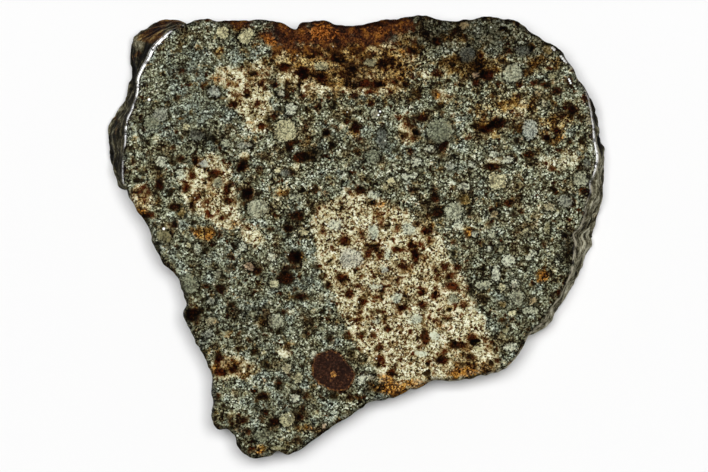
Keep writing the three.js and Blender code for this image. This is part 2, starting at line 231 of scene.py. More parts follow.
DARK_PATCHES = [
    (9.2, 23.6, 6, 4, 0.66), (15.5, 23.2, 8, 3.8, 0.63), (20.6, 21.8, 4.4, 3.6, 0.55),
    (13.2, 20, 5.4, 2, 0.7), (0.5, 19.6, 7.5, 3.4, 0.5), (5.4, 22.8, 1.8, 1.4, 0.6),
    (1.4, -17.9, 0.8, 0.8, 0.9), (3, -17.7, 0.9, 0.9, 1), (18.8, 12.5, 3, 2, 0.3),
    (-26, 14.6, 1.4, 3, 0.5), (24.6, -0.8, 1.2, 2.6, 0.8), (20.6, -11, 1.4, 1, 0.7),
    (-5, 9.6, 1.6, 1.2, 0.9), (-22.6, -1, 0.8, 2.6, 0.5), (11, 9.4, 1, 0.8, 0.8),
    (-17.2, 11.6, 1, 1, 0.8), (-19.2, -9, 0.9, 0.9, 0.8), (-17.8, -12.3, 1, 0.9, 0.6),
    (-13.6, -24, 1, 1.4, 0.6), (-4.7, -3.7, 0.4, 1, 0.8), (-7, -2.3, 1.2, 0.9, 0.7),
    (-16.9, -19.2, 0.7, 2.4, 0.6), (-13, -10.5, 6.8, 8.6, 0.42), (-12.5, 5, 1, 0.9, 0.8),
    (-10.6, 9.6, 0.9, 0.8, 0.6),
]

# Dark clots of metal and sulphide: (x, y, half width, half height).
CLOTS = [
    # top and right
    (-6.1, 19, 0.8, 0.8), (-8.4, 19.6, 0.7, 0.6), (-2, 22.5, 0.6, 0.5), (1.3, 22.6, 0.6, 0.5),
    (-4, 18.2, 0.5, 0.4), (1, 17.8, 0.6, 0.6), (2.2, 17.6, 0.8, 0.5), (0, 16.4, 0.5, 0.4),
    (4.3, 18.1, 0.5, 0.4), (-2.4, 20.6, 0.5, 0.6), (-5, 21.2, 0.5, 0.4), (2, 21.2, 0.6, 0.4),
    (9.4, 22.6, 0.5, 0.45), (6.3, 21.6, 0.4, 0.4), (15.2, 18.7, 0.8, 0.6), (14, 17.9, 0.5, 0.5),
    (22, 17.5, 0.6, 0.4), (21.2, 17.8, 0.4, 0.4), (24.7, 18, 0.4, 0.5), (25, 14.7, 0.4, 0.6),
    (23.2, 16.9, 0.5, 0.4), (16.4, 13.2, 0.9, 0.7), (15.2, 12.4, 0.6, 0.4), (23.3, 12.2, 0.4, 0.4),
    (24.8, 11, 0.5, 0.4), (22, 11.5, 0.6, 0.3), (15.9, 8.15, 1, 0.35), (7.6, 13.7, 0.7, 0.5),
    (6.1, 13.1, 0.5, 0.6), (7.2, 12.1, 0.3, 0.4), (5.8, 11.9, 0.3, 0.25), (9.4, 16.5, 0.35, 0.35),
    (9.1, 4.4, 0.55, 0.55), (9.4, 3, 0.65, 0.6), (20, 9.5, 0.5, 0.3), (18.6, 11, 0.5, 0.4),
    # left
    (-7.8, 10.3, 0.5, 0.7), (-6.5, 9.2, 0.8, 0.6), (-6.9, 10.9, 0.6, 0.3), (-3.5, 12, 0.5, 0.4),
    (0, 12.7, 0.4, 0.8), (-20.2, 19.2, 0.4, 0.3), (-11.8, 19.1, 0.6, 0.4),
    (-12.3, 17.7, 0.35, 0.3), (-11.4, 15.4, 0.35, 0.4), (-14.2, 15.4, 0.6, 0.3),
    (-19, 7, 0.5, 0.5), (-16.5, 7.4, 0.7, 0.5), (-19.7, 5.5, 0.5, 0.6), (-18.2, 4.4, 0.4, 0.3),
    (-15, 5.3, 0.5, 0.8), (-14.8, 4.1, 0.6, 0.4), (-18.9, 3.2, 0.3, 0.4), (-15.6, 2.2, 0.4, 0.3),
    (-25.3, 5.1, 0.5, 0.3), (-24.1, 5.2, 0.3, 0.3), (-22.8, 5.9, 0.5, 0.6), (-13.2, 8.2, 0.7, 0.6),
    (-12.6, 5, 0.8, 0.7), (-7.1, 2.4, 0.9, 0.5), (-24.2, 2.5, 0.8, 0.4), (-20.9, 3.4, 0.6, 0.4),
    (-20.3, 9, 0.6, 0.4), (-7.4, 7.3, 0.35, 0.3), (0.7, 5.4, 0.7, 0.5), (-15.7, -6, 0.6, 0.4),
    (-17.3, -5.8, 0.5, 0.3), (-18.9, -9, 0.8, 0.6), (-14.4, -7.8, 0.5, 0.3),
    (-11.7, -3.8, 0.6, 0.4), (-16, -14.2, 0.7, 0.7), (-15.7, -15.8, 0.9, 0.5),
    (-14, -15.4, 0.7, 0.5), (-12.3, -15, 0.3, 0.25), (-8.9, -17, 0.4, 0.6),
    (-13.1, -21.2, 0.5, 0.3), (-9.4, -21.6, 0.6, 0.5), (-6.6, -18, 0.6, 0.3),
    (-10.8, -18.5, 0.6, 0.4), (-12.7, -22.5, 0.5, 0.3), (-10.4, -20.5, 0.4, 0.3),
    (-6.5, -21, 0.4, 0.3), (-6.8, -23.6, 0.6, 0.4), (-8.2, -4.8, 0.95, 0.8),
    (-7.2, -2.4, 0.8, 0.6), (-6.3, -7, 0.7, 0.4), (-9.8, 0.8, 0.5, 0.3), (-8, 0.9, 0.5, 0.3),
    (-3, -11.7, 0.5, 0.4),
    # big fragment
    (-1.3, -0.5, 0.55, 0.5), (-3.9, 0.6, 0.4, 0.4), (-1.7, -4.7, 0.6, 0.5), (-0.7, -6.7, 0.7, 0.5),
    (-3.1, -5.7, 0.4, 0.4), (1.4, -1.9, 0.5, 0.7), (2.4, -1.4, 0.4, 0.3), (2.9, 1.2, 0.4, 0.3),
    (0.7, 0.3, 0.4, 0.5), (4.8, 1, 0.5, 0.4), (4.6, -1.4, 0.5, 0.4), (3, -6, 0.3, 0.4),
    (2.6, -8.6, 0.6, 0.3), (0.9, -7.6, 0.5, 0.3), (6.9, -2.3, 0.5, 1), (5.5, -1.5, 0.4, 0.3),
    (5.4, -3.5, 0.5, 0.3), (8.2, 0.7, 0.8, 0.5), (7.1, 1.4, 0.4, 0.4), (9.1, -3.8, 0.4, 0.5),
    (10.3, -3.6, 0.4, 0.4), (11.2, -5.8, 0.9, 0.5), (10.9, -4.6, 0.5, 0.5), (7.4, -6.5, 0.5, 0.3),
    (7.8, -8, 0.6, 0.5), (12.4, -7.9, 0.4, 0.3), (10.5, -9.6, 0.45, 0.4), (0.7, -11.4, 0.5, 0.4),
    (2.1, -11.5, 0.4, 0.3), (3.5, -10.8, 0.5, 0.3), (2.7, -14.2, 0.5, 0.4), (2.7, -13, 0.4, 0.3),
    (4.2, -15.8, 0.35, 0.5), (8, -11.6, 0.5, 1), (7.3, -12.8, 0.3, 0.3), (12, -12.6, 0.9, 0.4),
    (13.5, -11.8, 0.7, 0.6), (13.2, -13.9, 0.8, 0.3), (9.9, -14.3, 0.9, 0.4),
    (16.3, -14.3, 0.5, 0.3), (5.3, -8.3, 0.7, 0.3), (1.9, 3.9, 0.5, 0.3),
]

# Chondrules and small fragments that stand out one by one: by colour, (x, y, half width,
# half height).
CHONDRULES = {
    "#c2bb90": [  # cream
        (-12.7, 23.3, 0.9, 0.8), (-15.4, 23.6, 0.6, 0.6), (-19.7, 12.7, 0.4, 0.4),
        (4, 6.4, 0.45, 0.45), (16.4, 6.5, 1, 0.9), (16.9, -6, 0.4, 0.5), (18.1, -8.9, 0.4, 0.35),
        (-8.9, 7.7, 0.5, 0.3), (-19.4, -1.1, 0.3, 0.3), (-6.3, 0.7, 0.6, 0.45),
    ],
    "#b5b088": [  # straw
        (-4, 19.7, 0.7, 0.5), (1.7, 20.2, 0.7, 0.5), (-8.2, 12.3, 1.3, 1.2), (19.7, 0.6, 0.5, 0.4),
        (-6.8, -16.4, 0.6, 0.5), (-8, -21.2, 0.9, 0.7), (-9.5, -5.5, 0.5, 0.5),
        (14.2, -13, 0.5, 0.35),
    ],
    "#a39b79": [  # beige
        (21.8, 15.6, 0.4, 0.4), (27, 13.4, 0.45, 0.4), (22.5, 3.4, 0.6, 0.5),
        (-16.8, -9.8, 0.6, 0.55), (-8, -15.1, 0.5, 0.5),
    ],
    "#a4a68b": [  # sage
        (18.2, 19, 1.1, 1), (-15.2, 10.8, 0.5, 0.5), (11.3, 3, 1.1, 1), (26, 6.7, 0.8, 0.7),
        (15.8, 0.4, 0.45, 0.4), (18.7, -7, 0.8, 0.8), (20.1, -8.6, 0.8, 0.4),
        (14.8, -5.6, 0.8, 0.6), (-16.1, -4.3, 0.4, 0.4), (-9.3, -9.8, 0.8, 0.8),
        (-11.4, 3.3, 1.3, 0.9), (-7, 4.5, 0.6, 0.35),
    ],
    "#9c8860": [  # tan
        (12.5, 24.4, 0.4, 0.4), (21.1, 16.6, 0.4, 0.3), (4.4, 24.9, 0.4, 0.4),
        (16.1, 2.6, 0.5, 0.4), (20.6, -7.5, 0.45, 0.4),
    ],
    "#c4c7ae": [  # pale
        (-7.6, 14.8, 0.6, 0.6), (-8.7, 16.6, 0.4, 0.35), (2.2, 14.3, 0.5, 0.5),
        (-25, 12.2, 0.2, 0.3), (-22.6, 8.7, 0.5, 0.5), (7, 8.7, 0.6, 0.5), (5.6, 7, 0.4, 0.35),
        (6.8, 7, 0.4, 0.35), (8.6, 10.2, 0.5, 0.35), (13.4, 8.4, 0.4, 0.35), (12.5, 5.8, 0.6, 0.4),
        (17.6, 8.9, 0.7, 0.4), (16, 9.5, 0.5, 0.4), (15.5, -1.4, 0.35, 0.3),
        (20.5, -1.8, 0.35, 0.3), (20, -2.4, 0.4, 0.35), (23.4, -3, 0.35, 0.35),
        (11.9, 1.4, 0.6, 0.5), (13.7, 0.3, 0.4, 0.35), (17.6, -2.8, 0.75, 0.65),
        (16.2, -4.4, 0.5, 0.9), (18.4, -5.5, 0.45, 0.45), (17.9, -12.8, 0.7, 0.45),
        (-13.2, -1.2, 0.45, 0.45), (-13.1, -9, 0.25, 0.25), (-7.2, -18.7, 0.6, 0.5),
        (-9.8, -2.4, 0.45, 0.4), (-4.9, -13.8, 0.4, 0.5), (0.7, -16.6, 0.5, 0.5),
        (1.7, -16.3, 0.4, 0.3), (-2.3, 1.4, 0.8, 0.7),
    ],
    "#787b63": [  # green
        (15.8, 24.1, 0.6, 0.5), (-23.7, 13.2, 0.9, 0.8), (9.8, 12.3, 1.4, 1.4),
        (1.9, 9.3, 0.9, 0.8), (-16, 6.3, 0.5, 0.5), (-19.4, -5.6, 1.2, 1.1),
        (-10.8, -23.1, 1, 0.7), (11.3, -7.2, 0.6, 0.5),
    ],
    "#8f9180": [  # grey
        (-22.7, 14.1, 0.9, 0.8), (-12.9, 10.5, 0.8, 0.35), (11, 8, 0.6, 0.5), (24.3, 4, 0.8, 0.6),
        (-16.8, -7.5, 0.45, 0.4), (-17.1, -11.2, 0.6, 0.4),
    ],
    "#9a9f92": [  # blue
        (-16.5, 16.8, 0.8, 0.6), (20.1, 12.4, 0.8, 1.2), (-17.6, 8.4, 0.5, 0.35),
        (3.2, -3.9, 0.5, 0.4),
    ],
    "#c0bfaa": [  # lilac
        (-0.6, -2.5, 1.3, 1.2),
    ],
    "#bac0a8": [  # ice
        (-20.4, 7.2, 0.5, 0.5), (-18.3, -1.4, 0.4, 0.6), (2, 0.6, 0.6, 0.8), (6.1, 0.9, 0.7, 0.7),
        (2.2, 4.9, 0.7, 0.5), (2.2, -5.8, 0.7, 0.35), (3.7, -2.1, 0.4, 0.5), (7, -9.6, 0.75, 0.6),
        (7.6, -13.5, 0.6, 0.4), (9.2, -11.6, 0.6, 0.5), (2.4, -9.8, 0.5, 0.3),
        (4.7, -7.1, 0.5, 0.5),
    ],
    "#827c58": [  # olive
        (22.7, 18.6, 0.55, 0.4), (22.2, 1.1, 0.4, 0.6), (16.9, -1.4, 0.4, 0.35),
        (17.5, -10.9, 0.35, 0.35), (-22.2, 0, 0.9, 0.7), (-9, -24.5, 0.8, 0.35),
    ],
    "#5c5f55": [  # slate
        (19.4, 21.6, 0.8, 0.6), (12.9, 21.2, 1, 0.9), (-18.5, 11.7, 0.8, 0.6),
        (3, 11.3, 0.55, 1.2), (26.9, 8.4, 0.5, 0.5), (-8.2, 7.4, 0.6, 0.4),
    ],
    "#7f6833": [  # ochre
        (22.3, 21.8, 0.6, 0.5), (12.7, 4.3, 0.6, 0.6), (16.9, -7.9, 0.4, 0.35),
        (-20.2, 2.7, 0.35, 0.4),
    ],
    "#b39b7d": [  # pink
        (13.9, 18.8, 0.4, 0.3), (-12.4, -3.5, 0.5, 0.4), (-3.6, -22.1, 0.25, 0.4),
    ],
}

# Where the edge of the polished face was ground to a smooth bevel: (x, y, extra width).
GROUND_LEFT = [
    (-20.6, 24.5, 0.03), (-21.4, 24.1, 0.06), (-22.2, 23.6, 0.12), (-22.8, 23, 0.3),
    (-23.5, 22.4, 0.42), (-24, 21.6, 0.36), (-24.6, 20.6, 0.3), (-25.1, 19.4, 0.22),
    (-25.5, 18.1, 0.18), (-25.6, 17, 0.12), (-25.7, 16.2, 0.05), (-26, 15.3, 0.02),
    (-26.2, 14.6, 0.1), (-26.6, 13.4, 0.1), (-26.8, 12.4, 0.14), (-26.9, 11.2, 0.08),
    (-27, 10.6, 0), (-27.2, 8.8, 0), (-27.2, 8, 0.06), (-27.2, 6.9, 0.07),
]
GROUND_RIGHT = [
    (26.2, 17.5, 0.02), (27, 16.1, 0.06), (27.5, 14, 0.08), (27.8, 11.8, 0.12), (28.1, 9.8, 0.18),
    (28.2, 8.6, 0.18), (27.6, 6.8, 0.08), (27.2, 5.1, 0.05), (26.6, 2.6, 0),
]

# Small bright glints on metal and the chipped edge, painted into the colour as white spots
# (painted highlights): (x, y, half size).
GLINT_HIGHLIGHTS = [
    (-24, 15.9, 0.1), (-22.3, 0.9, 0.1), (-20.1, 24.6, 0.13), (22.8, 21.9, 0.1), (23, 21.7, 0.1),
    (23.8, 20.9, 0.08), (24, 20.65, 0.1), (24.2, 20.4, 0.1), (24.4, 20.2, 0.06),
    (24.7, 18.25, 0.04), (24.8, 18.05, 0.06), (24.9, 17.8, 0.05), (2.8, 14.5, 0.06),
    (2.6, 14.1, 0.06),
]


# ---------------------------------------------------------------- numbers worked out as arrays


def smooth_step(low, high, value):
    """0 up to low, 1 from high on, and 3 t squared minus 2 t cubed between."""
    share = np.clip((value - low) / (high - low), 0, 1)
    return share * share * (3 - 2 * share)


def scatter(cell, salt):
    """A number from 0 to 1 for each lattice point (i, j, k): the fraction part of 43758.5453
    times the sine of 12.9898 i + 78.233 j + 37.719 k + 4.581 salt."""
    wave = 43758.5453 * np.sin(cell @ np.array([12.9898, 78.233, 37.719]) + salt * 4.581)
    return wave - np.floor(wave)


def lumps(place, salt=0):
    """Smooth lumps from 0 to 1: a scattered number at each lattice point, blended between the
    eight nearest by 3 t squared minus 2 t cubed along each axis."""
    cell = np.floor(place)
    blend = place - cell
    blend = blend * blend * (3 - 2 * blend)
    total = np.zeros(place.shape[:-1])
    for corner in np.ndindex(2, 2, 2):
        weight = np.where(corner, blend, 1 - blend).prod(-1)
        total += weight * scatter(cell + corner, salt)
    return total


def dents(place, reach=0.9):
    """Round dents: every lattice cube has one centre at a scattered place, and the value is 1
    at a centre and falls with the square of the distance to 0 at the reach."""
    cell = np.floor(place)
    nearest = np.full(place.shape[:-1], reach**2)
    for step in np.ndindex(3, 3, 3):
        cube = cell + np.array(step) - 1
        centre = cube + np.stack([scatter(cube, salt) for salt in (1, 2, 3)], -1)
        nearest = np.minimum(nearest, ((centre - place) ** 2).sum(-1))
    return 1 - nearest / reach**2


def closed_curve(stations, count):
    """Closed centripetal Catmull-Rom curve through the stations, at count even steps round it.

    Between two stations it is the cubic whose ends are the stations and whose slopes there
    come from the station before and the station after, each gap weighted by the square root
    of its length. The points are then spaced evenly by length.
    """
    total = len(stations)
    fine = count * 4
    step = np.arange(fine) * total / fine
    first = np.floor(step).astype(int)
    w = (step - first)[:, None]
    before, a, b, after = (stations[(first + k) % total] for k in (-1, 0, 1, 2))
    gap0, gap1, gap2 = (
        ((p - q) ** 2).sum(1)[:, None] ** 0.25 for p, q in ((a, before), (b, a), (after, b))
    )
    slope_a = ((a - before) / gap0 - (b - before) / (gap0 + gap1) + (b - a) / gap1) * gap1
    slope_b = ((b - a) / gap1 - (after - a) / (gap1 + gap2) + (after - b) / gap2) * gap1
    curve = (
        a
        + slope_a * w
        + (3 * (b - a) - 2 * slope_a - slope_b) * w**2
        + (2 * (a - b) + slope_a + slope_b) * w**3
    )
    legs = np.hypot(*(np.roll(curve, -1, 0) - curve)[:, :2].T)
    along = np.concatenate([[0], np.cumsum(legs)])
    wanted = np.arange(count) * along[-1] / count
    looped = np.vstack([curve, curve[:1]])
    return np.stack([np.interp(wanted, along, looped[:, axis]) for axis in range(3)], 1)


def from_leg(place, start, leg):
    """How each place lies to a straight leg: the share of the leg at which it is nearest, and
    the level way to it from there."""
    share = np.clip((place - start) @ leg / (leg @ leg), 0, 1)
    return share, place - start - share[:, None] * leg


def side_distance(place, corners, closed=True):
    """Distance from each place to a path of corners, positive inside a closed path or to the
    left of an open one. A place is inside when a level line from it crosses the path an odd
    number of times."""
    corners = np.array(corners, float)
    ends = np.roll(corners, -1, 0) if closed else corners[1:]
    starts = corners if closed else corners[:-1]
    nearest = np.full(len(place), np.inf)
    inside = np.zeros(len(place), bool)
    left = np.zeros(len(place))
    for start, end in zip(starts, ends):
        leg = end - start
        _, away = from_leg(place, start, leg)
        gap = np.hypot(*away.T)
        cross = leg[0] * away[:, 1] - leg[1] * away[:, 0]
        left = np.where(gap < nearest, np.sign(cross), left)
        nearest = np.minimum(nearest, gap)
        over = (start[1] > place[:, 1]) != (end[1] > place[:, 1])
        rise = leg[1] if leg[1] else 1
        inside ^= over & (place[:, 0] < start[0] + leg[0] * (place[:, 1] - start[1]) / rise)
    return nearest * (np.where(inside, 1, -1) if closed else left)


def soft_patches(place, patches):
    """Strongest of the patches: each is its strength times exp(-r squared), r being the
    distance from its middle in half widths and half heights."""
    strongest = np.zeros(len(place))
    for x, y, half_width, half_height, strength in patches:
        apart = ((place - (x, y)) / (half_width, half_height)) ** 2
        strongest = np.maximum(strongest, strength * np.exp(-apart.sum(1)))
    return strongest


def depth_inside(place, ovals):
    """How deep each place lies inside the nearest of some squarish ovals, in mm and negative
    outside. For one oval it is one minus the root 2.2 of the sum of the 2.2th powers of the
    distances from its middle, in half widths and half heights, times the mean of both."""
    deepest = np.full(len(place), FAR_OUTSIDE)
    for x, y, half_width, half_height in ovals:
        apart = abs(place - (x, y)) / (half_width, half_height)
        reach = (apart**2.2).sum(1) ** (1 / 2.2)
        deepest = np.maximum(deepest, (1 - reach) * (half_width + half_height) / 2)
    return deepest


def linear(colour):
    """A #rrggbb colour as linear red, green, blue and full alpha."""
    parts = [int(colour[i : i + 2], 16) / 255 for i in (1, 3, 5)]
    return [p / 12.92 if p <= 0.04045 else ((p + 0.055) / 1.055) ** 2.4 for p in parts] + [1]


# ---------------------------------------------------------------- the stone's skin


def outwards_of(ring, span):
    """The level direction straight out of the stone at each point of a ring: the ring's own
    direction between the points span before and after, turned a quarter to the right."""
    along = np.roll(ring, -span, 0) - np.roll(ring, span, 0)
    out = np.stack([along[:, 1], -along[:, 0]], 1)
    return out / np.hypot(*out.T)[:, None]


def crust_relief(place):
    """Relief of the crust, always inward: 1.3 mm of the square of lumps 5.5 mm apart, and
    0.8 mm of dents 2.6 mm apart."""
    hollow = lumps(place / 5.5 + (0, 0, 0.4))
    dent = dents(place / 2.6 + (0, 0, 0.3))
    return -1.3 * hollow**2 - 0.8 * dent


def fine_relief(place):
    """The crust's small relief, both ways: level ledges of three sizes, each the square of the
    crests of lumps stretched sideways, and round lumps of three sizes."""
    relief = np.zeros(place.shape[:-1])
    for length, height, depth, salt in LEDGES:
        ledge = 1 - abs(2 * lumps(place / (length, length, height), salt) - 1)
        relief = relief + depth * (ledge**2 - 0.55)
    for size, height, salt in BUMPS:
        relief = relief + height * (lumps(place / size, salt) - 0.5)
    return relief


def swell(share, lean):
    """How much of the lean the wall has reached at a share of its height: 1 - (1 - s)^1.7,
    less a quarter of the square of how far s is past 0.72; where it runs back in, s."""
    tucked = np.clip((share - 0.72) / 0.28, 0, None)
    return np.where(lean < 0, share, 1 - (1 - share) ** 1.7 - 0.25 * tucked**2)


def skin_rings():
    """The rings of points from the edge of the polished face down to the sawn back.

    Every ring is the outline moved level along its outward directions. Over the bevel it
    starts inside the ragged rim and moves out and down by the bevel's profile. Down the wall
    it moves by lean times swell, plus the way to the mean of the outline's neighbours, plus
    the crust's relief, which grows to full size over the first millimetre, or three where the
    wall leans out, so that nothing is hollow right under the rim. The wall is then pushed out
    until its highest ridge below the push share reaches the lean, and the fine relief is
    added. Last come the sawn back's small bevel and its rings to the middle.
    """
    outline = closed_curve(STATIONS, COLUMNS)
    start = np.argmin(
        abs(np.arctan2(outline[:, 1] - CENTRE[1], outline[:, 0] - CENTRE[0]) + np.pi / 4)
    )
    outline = np.roll(outline, -start, 0)
    out = outwards_of(outline[:, :2], OUT_SPAN)
    lean = outline[:, 2]
    neighbours = [np.roll(outline[:, :2], k, 0) for k in range(-EVEN_SPAN, EVEN_SPAN + 1)]
    way_to_even = ((np.mean(neighbours, 0) - outline[:, :2]) * out).sum(1)

    flat = np.column_stack([outline[:, :2], np.full(COLUMNS, THICKNESS)])
    ragged = 0.2 * (lumps(flat / 0.9, 11) - 0.5) + 0.14 * (lumps(flat / 0.4, 12) - 0.5)
    chipped = -0.14 * smooth_step(0.65, 0.9, lumps(flat / 1.3, 13))
    ground = ground_width(outline[:, :2])
    rim_by = (ragged + chipped) * (1 - 0.8 * smooth_step(0, 0.1, ground))
    bevel = BEVEL + ground

    def ring(out_by, depth):
        """The outline moved level outwards, at a depth below the face."""
        level = outline[:, :2] + out * out_by[..., None]
        return np.concatenate([level, (THICKNESS - depth)[..., None]], -1)

    bevel_rings = [ring(rim_by - inset * bevel, drop * bevel) for inset, drop in BEVEL_PROFILE]

    share = np.linspace(0, 1, WALL_ROWS + 1)[:, None]
    below = share * (THICKNESS - bevel)
    depth = bevel + below
    plain = lean * swell(share, lean) + way_to_even * np.clip(below / EVEN_DEPTH, 0, 1)
    full_relief_at = 1 + 2 * np.clip(lean, 0, 1)
    relief = np.clip(below / full_relief_at, 0, 1) * crust_relief(ring(plain, depth))
    furthest = np.clip(lean, 0, None)
    out_by = np.minimum(furthest, plain + relief)
    missing = furthest - out_by[share[:, 0] >= PUSH_SHARE].max(0)
    push = missing * np.clip(furthest / PUSH_LEAN, 0, 1)
    out_by = np.minimum(furthest, out_by + push * np.clip(share / PUSH_SHARE, 0, 1))
    under_rim = np.clip(below / RIM_DEPTH, 0, 1)
    small = fine_relief(ring(out_by, depth))
    small = np.minimum(small, 0.04 + small * 0.3) * under_rim
    out_by = out_by + rim_by * (1 - under_rim) + small
    depth = np.minimum(depth, THICKNESS - FOOT_HEIGHT)
    wall_rings = list(ring(out_by, depth))

    foot = ring(out_by[-1] - FOOT_INSET, np.full(COLUMNS, THICKNESS))
    back_rings = [foot]
    for size in BACK_SIZES:
        inner = foot.copy()
        inner[:, :2] = CENTRE + size * (foot[:, :2] - CENTRE)
        back_rings.append(inner)
    rings = np.array(bevel_rings + wall_rings + back_rings)
    reliefs = np.zeros(rings.shape[:2])
    reliefs[len(bevel_rings) : len(bevel_rings) + len(wall_rings)] = small
    return rings, len(bevel_rings), len(wall_rings), reliefs


def ground_width(place):
    """How much wider the ground bevel is at each place: the widths along both ground
    stretches, joined by straight lines and faded out from 0.6 to 1.1 mm beside them."""
    widest = np.zeros(len(place))
    for path in (np.array(GROUND_LEFT), np.array(GROUND_RIGHT)):
        for start, end in zip(path[:-1], path[1:]):
            share, away = from_leg(place, start[:2], end[:2] - start[:2])
            apart = np.hypot(*away.T)
            width = start[2] + share * (end[2] - start[2])
            widest = np.maximum(widest, width * (1 - smooth_step(0.6, 1.1, apart)))
    return widest


def face_grid(edge):
    """The polished face as a square grid drawn in to the edge ring.

    Grid point (i, j) lies on square number k = max(|i|, |j|), at a share t of the way round
    it. Its place is the centre plus the radius of square k times the way from the centre to
    the edge ring at share t. The radius is k / n, but the last square but one lies close to
    the edge, so that the flat face stays flat up to the bevel.
    """
    n = HALF_GRID
    j, i = np.mgrid[-n : n + 1, -n : n + 1]
    k = np.maximum(abs(i), abs(j))
    steps = np.select(
        [(i == k) & (j < k), (j == k) & (i > -k), (i == -k) & (j > -k)],
        [j + k, 2 * k + (k - i), 4 * k + (k - j)],
        6 * k + (i + k),
    )
    around = steps / np.maximum(8 * k, 1) * COLUMNS
    radius = np.where(k == n - 1, CLOSE_TO_EDGE, k / n)
    column = np.arange(COLUMNS + 1)
    looped = np.vstack([edge, edge[:1]])
    at = np.stack([np.interp(around % COLUMNS, column, looped[:, a]) for a in (0, 1)], -1)
    level = CENTRE + radius[..., None] * (at - CENTRE)
    grid = np.concatenate([level, np.full(k.shape + (1,), THICKNESS)], -1)
    ring = np.zeros(COLUMNS, int)
    on_edge = k == n
    ring[steps[on_edge].astype(int) % COLUMNS] = np.flatnonzero(on_edge.ravel())
    return grid, ring


def quads(index, places):
    """Corner indices and map places of the squares of a grid, from two arrays of the same
    rows and columns. Rows run one way, and columns a quarter turn left of it."""
    corners = [(slice(0, -1), slice(0, -1)), (slice(1, None), slice(0, -1))]
    corners += [(slice(1, None), slice(1, None)), (slice(0, -1), slice(1, None))]
    faces = np.stack([index[c] for c in corners], -1).reshape(-1, 4)
    mapped = np.stack([places[c] for c in corners], -2).reshape(-1, 4, 2)
    return faces, mapped


def stone_mesh():
    """The closed skin of the slice: face grid, bevel, wall and sawn back joined ring to ring,
    a fan round the middle of the back, and the place of every corner on the flat map."""
    rings, bevels, walls, reliefs = skin_rings()
    grid, edge_ids = face_grid(rings[0])
    rows = rings[1:]
    first = grid.shape[0] * grid.shape[1]
    vertices = np.vstack([grid.reshape(-1, 3), rows.reshape(-1, 3), [[*CENTRE, 0]]])
    ids = np.vstack([edge_ids, first + np.arange(rows[..., 0].size).reshape(rows.shape[:2])])
    ids = np.column_stack([ids, ids[:, 0]])
    middle = len(vertices) - 1

    face_uv = (grid[..., :2] + MAP_FACE) / MAP_SIDE
    face_index = np.arange(first).reshape(grid.shape[:2])
    parts = [quads(face_index.T, face_uv.transpose(1, 0, 2))]

    down = np.linalg.norm(np.diff(rings, axis=0), axis=-1).mean(1)
    down = np.concatenate([[0], np.cumsum(down)])
    wall_end = bevels + walls
    half = COLUMNS // 2
    for strip in range(2):
        columns = np.arange(strip * half, (strip + 1) * half + 1)
        across, depth = np.meshgrid(columns - columns[0], down[: wall_end + 1])
        across = 1 + across * (MAP_SIDE - 2) / half
        up = MAP_STRIPS_TOP - strip * MAP_STRIP - depth * MAP_STRIP_SCALE
        strip_uv = np.stack([across, up], -1) / MAP_SIDE
        parts.append(quads(ids[: wall_end + 1, columns], strip_uv))

    def on_back_map(level):
        """Where level places on the back lie on the flat map."""
        return (level[..., ::-1] * MAP_BACK_SCALE + MAP_BACK) / MAP_SIDE

    back = np.concatenate([rings[wall_end:], rings[wall_end:, :1]], 1)[..., :2]
    back_uv = on_back_map(back)
    parts.append(quads(ids[wall_end:], back_uv))
    faces = np.concatenate([part[0] for part in parts])
    mapped = np.concatenate([part[1] for part in parts])

    last = ids[-1]
    fan = np.stack([last[1:], last[:-1], np.full(COLUMNS, middle)], -1)
    hub = np.broadcast_to(on_back_map(CENTRE), (COLUMNS, 2))
    fan_uv = np.stack([back_uv[-1, 1:], back_uv[-1, :-1], hub], -2)
    reliefs = np.concatenate([np.zeros(first), reliefs[1:].ravel(), [0]])
    return vertices, faces, mapped, fan, fan_uv, (first, bevels, walls, reliefs)


def put_in_mesh(name, vertices, faces, mapped, fan, fan_uv):
    """The object itself, from vertices in mm, squares and their map, then a fan and its map."""
    mesh = bpy.data.meshes.new(name)
    corners = np.concatenate([faces.ravel(), fan.ravel()])
    fan_starts = faces.size + np.arange(len(fan)) * 3
    starts = np.concatenate([np.arange(len(faces)) * 4, fan_starts])
    mesh.vertices.add(len(vertices))
    mesh.loops.add(len(corners))
    mesh.polygons.add(len(starts))
    mesh.vertices.foreach_set("co", (vertices * MM).ravel())
    mesh.loops.foreach_set("vertex_index", corners)
    mesh.polygons.foreach_set("loop_start", starts)
    mesh.polygons.foreach_set("use_smooth", np.ones(len(starts), bool))
    flat_map = mesh.uv_layers.new(name="OFBake")
    flat_map.data.foreach_set("uv", np.concatenate([mapped.ravel(), fan_uv.ravel()]))
    mesh.update(calc_edges=True)
    mesh.validate()
    thing = bpy.data.objects.new(name, mesh)
    bpy.context.scene.collection.objects.link(thing)
    return thing


def store(mesh, name, values):
    """Keeps one number per vertex under a name that the material reads."""
    layer = mesh.attributes.new(name, "FLOAT", "POINT")
    layer.data.foreach_set("value", values.astype(np.float32))


def shifts(vertices, size, offset, salts):
    """A number from -0.5 to 0.5 per vertex for each salt, from lumps size mm apart."""
    return np.stack([lumps(vertices / size + offset, salt) - 0.5 for salt in salts], 1)


